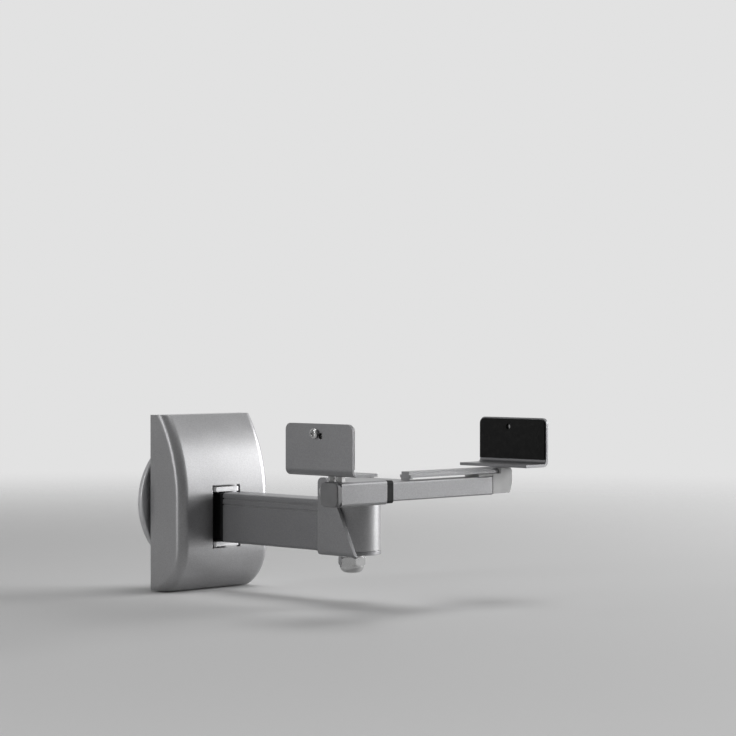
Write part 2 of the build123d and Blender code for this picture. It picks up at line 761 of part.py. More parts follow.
# Guide block with a T-shaped channel for the slide rail
block_bottom = sleeve_bottom + block_bottom_rise
rail_floor = rail_bottom - run_gap
rail_lock_x = bar_right_x + block_length / 2
block_end = bar_right_x + block_length
with BuildPart() as end_block:
    with BuildSketch(front(bar_reach - block_depth / 2)) as block_outline:
        with BuildLine():
            Polyline(
                (bar_right_x, block_bottom),
                (block_end - block_slope_run, block_bottom),
                (block_end, block_bottom + block_slope_rise),
                (block_end, block_top),
                (bar_right_x, block_top),
                close=True,
            )
        make_face()
        corners = block_outline.vertices().sort_by_distance((block_end, block_top))
        fillet(corners[0], radius=block_round)
    extrude(amount=block_depth)
    with BuildSketch(Plane.YZ.offset(bar_right_x)):
        with Locations((-bar_reach, rail_floor)):
            Rectangle(block_depth, block_top - rail_floor, align=(Align.CENTER, Align.MIN))
    extrude(amount=block_relief, mode=Mode.SUBTRACT)
    with BuildSketch(Plane.YZ.offset(bar_right_x)):
        with Locations((-bar_reach, bar_z)):
            RectangleRounded(
                bar_depth - 2 * (bar_wall + plug_gap),
                bar_height - 2 * (bar_wall + plug_gap),
                bar_corner / 2,
            )
    extrude(amount=-block_plug)
    with BuildSketch(Plane.YZ.offset(bar_right_x)):
        with Locations((-bar_reach, bar_top)):
            Rectangle(bar_depth, rail_floor - bar_top, align=(Align.CENTER, Align.MIN))
    extrude(amount=-block_tongue)
    with BuildSketch(Plane.YZ.offset(bar_right_x)):
        with Locations((-bar_reach, rail_floor)):
            Rectangle(
                rail_base_width + 2 * run_gap,
                rail_base_height + 2 * run_gap,
                align=(Align.CENTER, Align.MIN),
            )
            Rectangle(
                rail_web_width + 2 * run_gap,
                block_top - rail_floor,
                align=(Align.CENTER, Align.MIN),
            )
    extrude(amount=block_length, mode=Mode.SUBTRACT)
    with BuildSketch(Plane.XY.offset(block_bottom)):
        with Locations((rail_lock_x, -bar_reach)):
            Circle(lock_radius)
    extrude(amount=rail_floor - block_bottom, mode=Mode.SUBTRACT)

with BuildPart() as rail_lock_screw:
    with BuildSketch(Plane.XY.offset(block_bottom)):
        with Locations((rail_lock_x, -bar_reach)):
            Circle(lock_radius)
    extrude(amount=rail_floor - block_bottom)

# Slide rail under the right jaw, with a shoe that runs on the bar
rail_inner_x = rail_end - rail_length
right_rivets = ((right_rivet_x, -bar_reach), (right_rivet_x + jaw_rivet_spacing, -bar_reach))
with BuildPart() as slide_rail:
    with BuildSketch(Plane.YZ.offset(rail_inner_x)):
        with Locations((-bar_reach, rail_bottom)):
            Rectangle(rail_base_width, rail_base_height, align=(Align.CENTER, Align.MIN))
            Rectangle(rail_web_width, foot_bottom - rail_bottom, align=(Align.CENTER, Align.MIN))
    extrude(amount=rail_length)
    with BuildSketch(Plane.YZ.offset(rail_inner_x)):
        with Locations((-bar_reach, rail_bottom)):
            Rectangle(shoe_width, rail_bottom - bar_top - run_gap, align=(Align.CENTER, Align.MAX))
    extrude(amount=shoe_length)
    with BuildSketch(Plane.XY.offset(rail_bottom)):
        with Locations(*right_rivets):
            Circle(stud_radius)
    extrude(amount=foot_bottom - rail_bottom, mode=Mode.SUBTRACT)

# Place of a grip screw on the flange, seen from the side
grip_spot = (grip_back - jaw_reach, grip_z)


def jaw_form(sign, outside, fixing_spots):
    """Folded jaw on the left (-1) or the right (+1), with holes for its fixings and grip screw."""
    inside = outside - jaw_thickness
    foot_end = outside - jaw_foot
    with BuildPart() as jaw:
        with BuildSketch(front(jaw_reach - jaw_width / 2)) as section:
            with BuildLine():
                Polyline(
                    (sign * foot_end, foot_bottom),
                    (sign * outside, foot_bottom),
                    (sign * outside, flange_top),
                    (sign * inside, flange_top),
                    (sign * inside, foot_top),
                    (sign * foot_end, foot_top),
                    close=True,
                )
            make_face()
            corners = section.vertices().sort_by_distance((sign * inside, foot_top))
            fillet(corners[0], radius=jaw_bend)
            corners = section.vertices().sort_by_distance((sign * outside, foot_bottom))
            fillet(corners[0], radius=jaw_bend + jaw_thickness)
        extrude(amount=jaw_width)
        top_corners = jaw.edges().filter_by(Axis.X).group_by(Axis.Z)[-1]
        fillet(top_corners, radius=jaw_corner)
        with BuildSketch(Plane.XY.offset(foot_bottom)):
            with Locations(*fixing_spots):
                Circle(stud_radius)
        extrude(amount=jaw_thickness, mode=Mode.SUBTRACT)
        with BuildSketch(Plane.YZ.offset(sign * inside)):
            with Locations(grip_spot):
                Circle(grip_radius)
            with Locations((-jaw_reach - eyelet_ahead, flange_top - eyelet_drop)):
                Circle(eyelet_radius)
        extrude(amount=sign * jaw_thickness, mode=Mode.SUBTRACT)
    return jaw.part


def pad_form(sign, face):
    """Rubber lining on the inside of a jaw's flange."""
    pad_bottom = foot_top + jaw_bend + pad_margin / 2
    pad_top = flange_top - pad_margin
    with BuildPart() as pad:
        with BuildSketch(Plane.YZ.offset(sign * face)):
            with Locations((-jaw_reach, pad_bottom)):
                Rectangle(jaw_width - 2 * pad_margin, pad_top - pad_bottom, align=(Align.CENTER, Align.MIN))
            with Locations(grip_spot):
                Circle(grip_radius, mode=Mode.SUBTRACT)
        extrude(amount=sign * pad_thickness)
        top_corners = pad.edges().filter_by(Axis.X).group_by(Axis.Z)[-1]
        fillet(top_corners, radius=jaw_corner - pad_margin)
    return pad.part


def grip_form(sign, outside):
    """Pan-headed grip screw through a jaw's flange and lining."""
    with BuildPart() as grip:
        with BuildSketch(Plane.YZ.offset(sign * outside)):
            with Locations(grip_spot):
                Circle(grip_head_radius)
        extrude(amount=sign * grip_head_height)
        rims = grip.edges().sort_by(lambda edge: -sign * edge.center().X)
        fillet(rims[0], radius=grip_head_height / 2)
        with BuildSketch(Plane.YZ.offset(sign * outside)):
            with Locations(grip_spot):
                Circle(grip_radius - fit_gap)
        extrude(amount=-sign * jaw_thickness)
        with BuildSketch(Plane.YZ.offset(sign * (outside + grip_head_height))):
            with Locations(grip_spot):
                cross_recess(grip_head_radius)
        extrude(amount=-sign * grip_head_height * recess_depth, mode=Mode.SUBTRACT)
    return grip.part


# Left jaw with its lining, studs, nuts and grip screw
with BuildPart() as left_jaw:
    add(jaw_form(-1, left_outside, left_studs))

with BuildPart() as left_pad:
    add(pad_form(-1, left_face))

with BuildPart() as left_grip_screw:
    add(grip_form(-1, left_outside))

with BuildPart() as left_jaw_studs:
    with BuildSketch(Plane.XY.offset(sleeve_top - sleeve_wall)):
        with Locations(*left_studs):
            Circle(stud_radius - fit_gap)
    extrude(amount=foot_top - sleeve_top + sleeve_wall)

with BuildPart() as left_jaw_nuts:
    for spot in left_studs:
        add(hex_prism(stud_nut_across, jaw_standoff, Plane((*spot, sleeve_top))))
    with BuildSketch(Plane.XY.offset(sleeve_top)):
        with Locations(*left_studs):
            Circle(stud_radius - fit_gap)
    extrude(amount=jaw_standoff, mode=Mode.SUBTRACT)

# Right jaw with its lining, rivets and grip screw
with BuildPart() as right_jaw:
    add(jaw_form(1, right_outside, right_rivets))

with BuildPart() as right_pad:
    add(pad_form(1, right_face))

with BuildPart() as right_grip_screw:
    add(grip_form(1, right_outside))

with BuildPart() as right_jaw_rivets:
    with BuildSketch(Plane.XY.offset(rail_bottom)):
        with Locations(*right_rivets):
            Circle(stud_radius)
    extrude(amount=foot_top - rail_bottom)

# Labels and STEP files
pieces = {
    "wall_plate": wall_plate,
    "wall_cover": wall_cover,
    "cover_screws": cover_screws,
    "root_bracket": root_bracket,
    "bracket_screws": bracket_screws,
    "pivot_bolt": pivot_bolt,
    "pivot_nut": pivot_nut,
    "pivot_washers": pivot_washers,
    "arm_knuckle": arm_knuckle,
    "arm_tube": arm_tube,
    "arm_rivets": arm_rivets,
    "swivel_barrel": swivel_barrel,
    "yoke": yoke,
    "swivel_bolt": swivel_bolt,
    "swivel_washer": swivel_washer,
    "swivel_cap_nut": swivel_cap_nut,
    "swivel_lock_nut": swivel_lock_nut,
    "tilt_bolt": tilt_bolt,
    "tilt_nut": tilt_nut,
    "tilt_cradle": tilt_cradle,
    "cradle_screws": cradle_screws,
    "bar_tube": bar_tube,
    "bar_sleeve": bar_sleeve,
    "sleeve_collar": sleeve_collar,
    "sleeve_cap": sleeve_cap,
    "sleeve_lock_screw": sleeve_lock_screw,
    "end_block": end_block,
    "rail_lock_screw": rail_lock_screw,
    "slide_rail": slide_rail,
    "left_jaw": left_jaw,
    "left_pad": left_pad,
    "left_grip_screw": left_grip_screw,
    "left_jaw_studs": left_jaw_studs,
    "left_jaw_nuts": left_jaw_nuts,
    "right_jaw": right_jaw,
    "right_pad": right_pad,
    "right_grip_screw": right_grip_screw,
    "right_jaw_rivets": right_jaw_rivets,
}
os.makedirs("parts", exist_ok=True)
for name, piece in pieces.items():
    piece.part.label = name
    export_step(piece.part, f"parts/{name}.step")
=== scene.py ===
import json
import math

import bpy
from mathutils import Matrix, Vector


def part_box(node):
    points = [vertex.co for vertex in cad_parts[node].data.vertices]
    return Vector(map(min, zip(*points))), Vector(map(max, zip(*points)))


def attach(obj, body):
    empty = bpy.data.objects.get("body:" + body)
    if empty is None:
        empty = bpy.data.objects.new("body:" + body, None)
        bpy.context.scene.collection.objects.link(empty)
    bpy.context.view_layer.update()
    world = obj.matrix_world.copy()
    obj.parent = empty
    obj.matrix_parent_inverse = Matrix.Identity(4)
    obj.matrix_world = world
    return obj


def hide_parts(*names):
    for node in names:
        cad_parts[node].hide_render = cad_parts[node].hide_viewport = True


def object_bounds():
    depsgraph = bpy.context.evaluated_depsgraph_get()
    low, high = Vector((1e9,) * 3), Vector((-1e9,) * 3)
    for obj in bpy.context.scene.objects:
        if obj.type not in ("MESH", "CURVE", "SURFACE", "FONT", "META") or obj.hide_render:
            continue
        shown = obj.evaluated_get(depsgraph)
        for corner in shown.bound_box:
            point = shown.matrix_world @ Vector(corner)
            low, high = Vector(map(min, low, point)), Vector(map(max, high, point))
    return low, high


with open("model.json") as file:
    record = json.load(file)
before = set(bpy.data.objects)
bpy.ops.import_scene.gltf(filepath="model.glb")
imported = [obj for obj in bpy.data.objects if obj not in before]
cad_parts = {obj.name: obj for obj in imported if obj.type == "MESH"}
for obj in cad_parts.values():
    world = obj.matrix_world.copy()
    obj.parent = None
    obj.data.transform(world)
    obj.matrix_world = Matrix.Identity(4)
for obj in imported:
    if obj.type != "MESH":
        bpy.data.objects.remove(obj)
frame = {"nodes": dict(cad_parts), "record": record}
cad_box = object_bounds()
nodes = frame["nodes"]
scene = bpy.context.scene

# Colours of the finishes and of the studio, linear
COVER_PAINT = (0.5, 0.5, 0.51)
ARM_PAINT = (0.27, 0.27, 0.28)
HEAD_PAINT = (0.33, 0.33, 0.34)
BAR_PAINT = (0.37, 0.37, 0.38)
JAW_PAINT = (0.31, 0.31, 0.32)
# Paler paint for the edges: rubbed wear, and also a painted highlight along the edges
RUBBED_PAINT_AND_EDGE_HIGHLIGHT = (0.62, 0.62, 0.62)
DUST = (0.55, 0.54, 0.52)
PLATE_ZINC = (0.62, 0.62, 0.63)
ZINC = (0.56, 0.56, 0.56)
CHROME = (0.64, 0.64, 0.64)
BLACK_PLASTIC = (0.02, 0.02, 0.021)
BLACK_SCUFF = (0.05, 0.05, 0.05)
GREY_PLASTIC = (0.8, 0.8, 0.8)
GREY_SCUFF = (0.84, 0.84, 0.84)
CAP_PLASTIC = (0.42, 0.42, 0.43)
CAP_SCUFF = (0.46, 0.46, 0.46)
RUBBER = (0.018, 0.018, 0.018)
RUBBER_SCUFF = (0.06, 0.06, 0.058)
FLOOR = (0.8, 0.8, 0.8)
FLOOR_BOUNCE = (0.15, 0.15, 0.15)
BACKDROP = (0.95, 0.95, 0.95)

# Roughness of each finish, from its glossiest to its dullest patches
COVER_ROUGHNESS = (0.31, 0.35)
PAINT_ROUGHNESS = (0.38, 0.44)
PLATE_ROUGHNESS = (0.36, 0.5)
ZINC_ROUGHNESS = (0.22, 0.36)
CHROME_ROUGHNESS = (0.08, 0.18)
MOULDED_ROUGHNESS = (0.48, 0.62)

# Ranges that several finishes share
WHOLE = (0.0, 1.0)
FADING = (1.0, 0.0)
NOISE_MIDDLE = (0.3, 0.7)

# Numbers of the Mix node's colour sockets
MIX_FIRST = 6
MIX_SECOND = 7
MIX_RESULT = 2


def add_node(tree, kind, **values):
    """Node of a kind, with its properties set by name and its inputs by name after in_."""
    node = tree.nodes.new(kind)
    for key, value in values.items():
        if key.startswith("in_"):
            name = key.removeprefix("in_").replace("_", " ")
            node.inputs[name].default_value = value
        else:
            setattr(node, key, value)
    return node


def math_node(tree, operation, first, second):
    """Socket with two sockets or numbers put together."""
    node = add_node(tree, "ShaderNodeMath", operation=operation)
    for index, value in enumerate((first, second)):
        if isinstance(value, float):
            node.inputs[index].default_value = value
        else:
            tree.links.new(value, node.inputs[index])
    return node.outputs[0]


def map_range(tree, value, span, target):
    """Socket with a value mapped from a span to a target range, clamped."""
    node = tree.nodes.new("ShaderNodeMapRange")
    tree.links.new(value, node.inputs["Value"])
    node.inputs["From Min"].default_value, node.inputs["From Max"].default_value = span
    node.inputs["To Min"].default_value, node.inputs["To Max"].default_value = target
    return node.outputs["Result"]


def noise(tree, vector, scale, detail):
    """Socket with noise of a scale in cells per metre and a detail."""
    node = add_node(tree, "ShaderNodeTexNoise", in_Scale=scale, in_Detail=detail)
    tree.links.new(vector, node.inputs["Vector"])
    return node.outputs["Fac"]


def scaled_color(tree, color, factor):
    """Socket with a colour times a factor."""
    node = add_node(tree, "ShaderNodeVectorMath", operation="SCALE")
    tree.links.new(color, node.inputs[0])
    tree.links.new(factor, node.inputs["Scale"])
    return node.outputs[0]


def mixed_color(tree, factor, first, second):
    """Socket with two colours mixed by a factor."""
    node = add_node(tree, "ShaderNodeMix", data_type="RGBA")
    tree.links.new(factor, node.inputs["Factor"])
    for index, color in ((MIX_FIRST, first), (MIX_SECOND, second)):
        if isinstance(color, tuple):
            node.inputs[index].default_value = (*color, 1.0)
        else:
            tree.links.new(color, node.inputs[index])
    return node.outputs[MIX_RESULT]


COLOR = "NodeSocketColor"
FLOAT = "NodeSocketFloat"
VECTOR = "NodeSocketVector"
FINISH_OUTPUTS = [("Color", COLOR), ("Roughness", FLOAT), ("Height", FLOAT)]


def new_group(name, inputs, outputs):
    """Empty node group with named sockets, and its inner ends."""
    group = bpy.data.node_groups.new(name, "ShaderNodeTree")
    for socket_name, kind in inputs:
        group.interface.new_socket(socket_name, in_out="INPUT", socket_type=kind)
    for socket_name, kind in outputs:
        group.interface.new_socket(socket_name, in_out="OUTPUT", socket_type=kind)
    entry = group.nodes.new("NodeGroupInput")
    exit_node = group.nodes.new("NodeGroupOutput")
    return group, entry, exit_node


# Rounding of the edges, and how far a normal turns where an edge counts as rubbed or takes a painted edge
# highlight
EDGE_ROUND = 0.0004
EDGE_SAMPLES = 6
EDGE_TURN = (0.995, 0.8)


def edge_group():
    """Normal that rounds the edges, and a mask of the edges, where the finish is made brighter as rubbed
    wear and, on the paint, as a painted edge highlight.
    """
    outputs = [("Mask", FLOAT), ("Normal", VECTOR)]
    group, entry, exit_node = new_group("edge_round", [("Radius", FLOAT)], outputs)
    bevel = add_node(group, "ShaderNodeBevel", samples=EDGE_SAMPLES)
    group.links.new(entry.outputs["Radius"], bevel.inputs["Radius"])
    geometry = add_node(group, "ShaderNodeNewGeometry")
    turn = add_node(group, "ShaderNodeVectorMath", operation="DOT_PRODUCT")
    group.links.new(bevel.outputs["Normal"], turn.inputs[0])
    group.links.new(geometry.outputs["Normal"], turn.inputs[1])
    mask = map_range(group, turn.outputs["Value"], EDGE_TURN, WHOLE)
    group.links.new(mask, exit_node.inputs["Mask"])
    group.links.new(bevel.outputs["Normal"], exit_node.inputs["Normal"])
    return group


EDGE = edge_group()


def roughness_range(tree, value, entry):
    """Socket with noise mapped to the roughness range that a group is given."""
    spread = tree.nodes.new("ShaderNodeMapRange")
    tree.links.new(value, spread.inputs["Value"])
    spread.inputs["From Min"].default_value, spread.inputs["From Max"].default_value = NOISE_MIDDLE
    tree.links.new(entry.outputs["Roughness low"], spread.inputs["To Min"])
    tree.links.new(entry.outputs["Roughness high"], spread.inputs["To Max"])
    return spread.outputs["Result"]


# Metallic paint, with each noise as cells per metre and detail
FLAKES_PER_METRE = 2200.0
FLAKE_BRIGHTNESS = (0.9, 1.1)
MOTTLE_NOISE = (22.0, 3.0)
MOTTLE_BRIGHTNESS = (0.97, 1.03)
RUB_AND_HIGHLIGHT_WIDTH = 0.0007
RUB_NOISE = (90.0, 3.0)
RUB_SPAN = (0.35, 0.65)
RUB_PATCHES = (0.25, 1.0)
RUB_AND_HIGHLIGHT_STRENGTH = 0.55
DUST_SLOPE = (0.6, 1.0)
DUST_NOISE = (420.0, 5.0)
DUST_SPAN = (0.5, 0.75)
DUST_AMOUNT = (0.0, 0.08)
WIPE_NOISE = (45.0, 2.0)
SPRAY_NOISE = (900.0, 2.0)


def paint_group():
    """Satin metallic paint with flakes, soft mottling, dust on top, and edges made brighter as rubbed wear
    and as a painted edge highlight.
    """
    inputs = [("Paint", COLOR), ("Roughness low", FLOAT), ("Roughness high", FLOAT)]
    group, entry, exit_node = new_group("metallic_paint", inputs, FINISH_OUTPUTS)
    place = add_node(group, "ShaderNodeTexCoord").outputs["Object"]
    flakes = add_node(group, "ShaderNodeTexVoronoi", in_Scale=FLAKES_PER_METRE)
    group.links.new(place, flakes.inputs["Vector"])
    split = add_node(group, "ShaderNodeSeparateColor")
    group.links.new(flakes.outputs["Color"], split.inputs["Color"])
    sparkle = map_range(group, split.outputs[0], WHOLE, FLAKE_BRIGHTNESS)
    mottle = map_range(group, noise(group, place, *MOTTLE_NOISE), NOISE_MIDDLE, MOTTLE_BRIGHTNESS)
    brightness = math_node(group, "MULTIPLY", sparkle, mottle)
    color = scaled_color(group, entry.outputs["Paint"], brightness)
    # The edges are painted brighter: partly rubbed wear in patches, partly a painted highlight along the
    # edges
    edge = add_node(group, "ShaderNodeGroup", node_tree=EDGE, in_Radius=RUB_AND_HIGHLIGHT_WIDTH)
    patches = map_range(group, noise(group, place, *RUB_NOISE), RUB_SPAN, RUB_PATCHES)
    rub = math_node(group, "MULTIPLY", edge.outputs["Mask"], patches)
    rub = math_node(group, "MULTIPLY", rub, RUB_AND_HIGHLIGHT_STRENGTH)
    color = mixed_color(group, rub, color, RUBBED_PAINT_AND_EDGE_HIGHLIGHT)
    geometry = add_node(group, "ShaderNodeNewGeometry")
    axes = add_node(group, "ShaderNodeSeparateXYZ")
    group.links.new(geometry.outputs["Normal"], axes.inputs[0])
    upward = map_range(group, axes.outputs["Z"], DUST_SLOPE, WHOLE)
    specks = map_range(group, noise(group, place, *DUST_NOISE), DUST_SPAN, DUST_AMOUNT)
    dust = math_node(group, "MULTIPLY", upward, specks)
    color = mixed_color(group, dust, color, DUST)
    wipe = roughness_range(group, noise(group, place, *WIPE_NOISE), entry)
    rough = math_node(group, "ADD", wipe, dust)
    group.links.new(color, exit_node.inputs["Color"])
    group.links.new(rough, exit_node.inputs["Roughness"])
    group.links.new(noise(group, place, *SPRAY_NOISE), exit_node.inputs["Height"])
    return group


# Plating, with each noise as cells per metre and detail
BRUSH_STRETCH = (1.0, 1.0, 9.0)
BRUSH_NOISE = (650.0, 3.0)
STAIN_NOISE = (130.0, 4.0)
STAIN_SPAN = (0.35, 0.7)
STAIN_BRIGHTNESS = (1.03, 0.9)
SMUDGE_NOISE = (240.0, 4.0)


def plating_group():
    """Bright plating with fine brush lines, faint stains and smudges."""
    inputs = [("Metal", COLOR), ("Roughness low", FLOAT), ("Roughness high", FLOAT)]
    group, entry, exit_node = new_group("plating", inputs, FINISH_OUTPUTS)
    place = add_node(group, "ShaderNodeTexCoord").outputs["Object"]
    stretch = add_node(group, "ShaderNodeMapping", in_Scale=BRUSH_STRETCH)
    group.links.new(place, stretch.inputs["Vector"])
    lines = noise(group, stretch.outputs["Vector"], *BRUSH_NOISE)
    stain = map_range(group, noise(group, place, *STAIN_NOISE), STAIN_SPAN, STAIN_BRIGHTNESS)
    color = scaled_color(group, entry.outputs["Metal"], stain)
    smudge = roughness_range(group, noise(group, place, *SMUDGE_NOISE), entry)
    group.links.new(color, exit_node.inputs["Color"])
    group.links.new(smudge, exit_node.inputs["Roughness"])
    group.links.new(lines, exit_node.inputs["Height"])
    return group


# Moulded grain, with each noise as cells per metre and detail
CLOUD_NOISE = (70.0, 4.0)
CLOUD_BRIGHTNESS = (0.9, 1.1)
SCUFF_NOISE = (300.0, 5.0)
SCUFF_SPAN = (0.5, 0.7)
SCUFF_AMOUNT = (0.0, 0.35)
SCUFF_STRENGTH = 0.5
WORN_EDGE_WIDTH = 0.0005
WORN_EDGE_AMOUNT = 0.4
TOUCH_NOISE = (180.0, 3.0)


def grain_group():
    """Moulded plastic or rubber with a fine grain, scuffs and paler edges."""
    inputs = [("Base", COLOR), ("Scuff", COLOR), ("Grain scale", FLOAT)]
    group, entry, exit_node = new_group("moulded_grain", inputs, FINISH_OUTPUTS)
    place = add_node(group, "ShaderNodeTexCoord").outputs["Object"]
    grain = add_node(group, "ShaderNodeTexVoronoi", feature="SMOOTH_F1")
    group.links.new(place, grain.inputs["Vector"])
    group.links.new(entry.outputs["Grain scale"], grain.inputs["Scale"])
    clouds = map_range(group, noise(group, place, *CLOUD_NOISE), NOISE_MIDDLE, CLOUD_BRIGHTNESS)
    color = scaled_color(group, entry.outputs["Base"], clouds)
    edge = add_node(group, "ShaderNodeGroup", node_tree=EDGE, in_Radius=WORN_EDGE_WIDTH)
    worn_edge = math_node(group, "MULTIPLY", edge.outputs["Mask"], WORN_EDGE_AMOUNT)
    scuffs = map_range(group, noise(group, place, *SCUFF_NOISE), SCUFF_SPAN, SCUFF_AMOUNT)
    rub = math_node(group, "MAXIMUM", worn_edge, scuffs)
    rub = math_node(group, "MULTIPLY", rub, SCUFF_STRENGTH)
    color = mixed_color(group, rub, color, entry.outputs["Scuff"])
    rough = map_range(group, noise(group, place, *TOUCH_NOISE), NOISE_MIDDLE, MOULDED_ROUGHNESS)
    group.links.new(color, exit_node.inputs["Color"])
    group.links.new(rough, exit_node.inputs["Roughness"])
    group.links.new(grain.outputs["Distance"], exit_node.inputs["Height"])
    return group


PAINT = paint_group()
PLATING = plating_group()
GRAIN = grain_group()

# Depth of the bump, and what each finish sets on its shader
BUMP_DEPTH = 0.0001
COAT_ROUGHNESS = 0.25
PAINT_METAL = 0.5
PAINT_BUMP = 0.04
PAINT_COAT = 0.15
PLATING_METAL = 1.0
PLATING_BUMP = 0.06
USUAL_SHINE = 0.5
PLASTIC_SHINE = 0.4
BLACK_SHINE = 0.15

# Grain of the moulded pieces, as cells per metre and bump
PLASTIC_GRAIN = (1700.0, 0.22)
BLACK_GRAIN = (1500.0, 0.3)
RUBBER_GRAIN = (1100.0, 0.45)


def finish_material(name, group, inputs, metallic, bump_strength, coat=0.0, shine=USUAL_SHINE):
    """Material whose colour, roughness and bump come from one finish group."""
    material = bpy.data.materials.new(name)
    material.use_nodes = True
    tree = material.node_tree
    shader = tree.nodes["Principled BSDF"]
    finish = add_node(tree, "ShaderNodeGroup", node_tree=group)
    for socket, value in inputs.items():
        finish.inputs[socket].default_value = (*value, 1.0) if isinstance(value, tuple) else value
    bump = add_node(tree, "ShaderNodeBump", in_Strength=bump_strength, in_Distance=BUMP_DEPTH)
    tree.links.new(finish.outputs["Height"], bump.inputs["Height"])
    edge = add_node(tree, "ShaderNodeGroup", node_tree=EDGE, in_Radius=EDGE_ROUND)
    tree.links.new(edge.outputs["Normal"], bump.inputs["Normal"])
    tree.links.new(finish.outputs["Color"], shader.inputs["Base Color"])
    tree.links.new(finish.outputs["Roughness"], shader.inputs["Roughness"])
    tree.links.new(bump.outputs["Normal"], shader.inputs["Normal"])
    shader.inputs["Metallic"].default_value = metallic
    shader.inputs["Specular IOR Level"].default_value = shine
    shader.inputs["Coat Weight"].default_value = coat
    shader.inputs["Coat Roughness"].default_value = COAT_ROUGHNESS
    return material


def paint(name, color, roughness):
    """Satin metallic paint of a colour and a roughness range."""
    low, high = roughness
    inputs = {"Paint": color, "Roughness low": low, "Roughness high": high}
    return finish_material(name, PAINT, inputs, PAINT_METAL, PAINT_BUMP, coat=PAINT_COAT)


def plating(name, color, roughness):
    """Bright plating of a colour and a roughness range."""
    low, high = roughness
    inputs = {"Metal": color, "Roughness low": low, "Roughness high": high}
    return finish_material(name, PLATING, inputs, PLATING_METAL, PLATING_BUMP)


def moulded(name, color, scuff, grain, shine):
    """Grained plastic or rubber of a colour, with scuffs of another."""
    scale, bump_strength = grain
    inputs = {"Base": color, "Scuff": scuff, "Grain scale": scale}
    return finish_material(name, GRAIN, inputs, 0.0, bump_strength, shine=shine)


finishes = {
    "cover_paint": paint("cover_paint_finish", COVER_PAINT, COVER_ROUGHNESS),
    "arm_paint": paint("arm_paint_finish", ARM_PAINT, PAINT_ROUGHNESS),
    "head_paint": paint("head_paint_finish", HEAD_PAINT, PAINT_ROUGHNESS),
    "bar_paint": paint("bar_paint_finish", BAR_PAINT, PAINT_ROUGHNESS),
    "jaw_paint": paint("jaw_paint_finish", JAW_PAINT, PAINT_ROUGHNESS),
    "plate_steel": plating("plate_steel_finish", PLATE_ZINC, PLATE_ROUGHNESS),
    "black_plastic": moulded("black_plastic_finish", BLACK_PLASTIC, BLACK_SCUFF, BLACK_GRAIN, BLACK_SHINE),
    "grey_plastic": moulded("grey_plastic_finish", GREY_PLASTIC, GREY_SCUFF, PLASTIC_GRAIN, PLASTIC_SHINE),
    "cap_plastic": moulded("cap_plastic_finish", CAP_PLASTIC, CAP_SCUFF, PLASTIC_GRAIN, PLASTIC_SHINE),
    "pad_rubber": moulded("pad_rubber_finish", RUBBER, RUBBER_SCUFF, RUBBER_GRAIN, BLACK_SHINE),
    "zinc": plating("zinc_finish", ZINC, ZINC_ROUGHNESS),
    "chrome": plating("chrome_finish", CHROME, CHROME_ROUGHNESS),
}
for part in frame["record"]["subparts"]:
    piece = nodes[part["node"]]
    for slot in piece.material_slots:
        slot.material = finishes[part["material_slot"]]

# Shape of every socket screw, with the chamfer as a share of the radius
SCREW_SIDES = 24
SOCKET_SIDES = 6
SCREW_CHAMFER = 0.15


def socket_screw(name, radius, length, across, depth, place, axis):
    """Headless screw along an axis from a place, with a chamfered end and a hexagon socket in it."""
    along = Vector(axis)
    first = along.orthogonal().normalized()
    second = along.cross(first)
    chamfer = radius * SCREW_CHAMFER
    turn = math.tau / SCREW_SIDES
    sector = math.tau / SOCKET_SIDES
    socket = []
    for step in range(SCREW_SIDES):
        from_flat = (step * turn) % sector - sector / 2
        socket.append(across / 2 / math.cos(from_flat))
    shank = [radius] * SCREW_SIDES
    rim = [radius - chamfer] * SCREW_SIDES
    rings = [
        (0.0, shank),
        (length - chamfer, shank),
        (length, rim),
        (length, socket),
        (length - depth, socket),
    ]
    points = []
    for height, radii in rings:
        for step, reach in enumerate(radii):
            spoke = first * math.cos(step * turn) + second * math.sin(step * turn)
            points.append(Vector(place) + along * height + spoke * reach)
    faces = []
    for ring in range(len(rings) - 1):
        for step in range(SCREW_SIDES):
            near = ring * SCREW_SIDES + step
            beside = ring * SCREW_SIDES + (step + 1) % SCREW_SIDES
            faces.append((near, beside, beside + SCREW_SIDES, near + SCREW_SIDES))
    faces.append(tuple(reversed(range(SCREW_SIDES))))
    faces.append(tuple(range((len(rings) - 1) * SCREW_SIDES, len(rings) * SCREW_SIDES)))
    mesh = bpy.data.meshes.new(name)
    mesh.from_pydata(points, [], faces)
    mesh.materials.append(finishes["zinc"])
    screw = bpy.data.objects.new(name, mesh)
    scene.collection.objects.link(screw)
    return screw


# Small set screws that stand on the linings, at the Y and Z of the holes beside the grip screws
EYELET_PLACE = (-0.23895, 0.0565)
PIN_RADIUS = 0.0011
PIN_LENGTH = 0.0008
PIN_SOCKET = 0.0011
left_pad_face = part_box("left_pad")[0][0]
right_pad_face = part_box("right_pad")[1][0]
for side, face, sign in (("left", left_pad_face, -1), ("right", right_pad_face, 1)):
    pin = socket_screw(
        f"{side}_set_screw",
        radius=PIN_RADIUS,
        length=PIN_LENGTH,
        across=PIN_SOCKET,
        depth=PIN_SOCKET / 2,
        place=(face, *EYELET_PLACE),
        axis=(sign, 0, 0),
    )
    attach(pin, f"{side}_clamp")

# Rail lock screw with its socket
LOCK_SOCKET = 0.0025
low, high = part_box("rail_lock_screw")
lock_screw = socket_screw(
    "rail_lock_socket_screw",
    radius=(high[0] - low[0]) / 2,
    length=high[2] - low[2],
    across=LOCK_SOCKET,
    depth=LOCK_SOCKET,
    place=((low[0] + high[0]) / 2, (low[1] + high[1]) / 2, high[2]),
    axis=(0, 0, -1),
)
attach(lock_screw, "clamp")
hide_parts("rail_lock_screw")


def seen_directly(tree):
    """Socket that is 1 for the view itself and for what shines or shows through, 0 for soft fill."""
    rays = tree.nodes.new("ShaderNodeLightPath").outputs
    mirrored = math_node(tree, "MAXIMUM", rays["Is Glossy Ray"], rays["Is Transmission Ray"])
    return math_node(tree, "MAXIMUM", rays["Is Camera Ray"], mirrored)


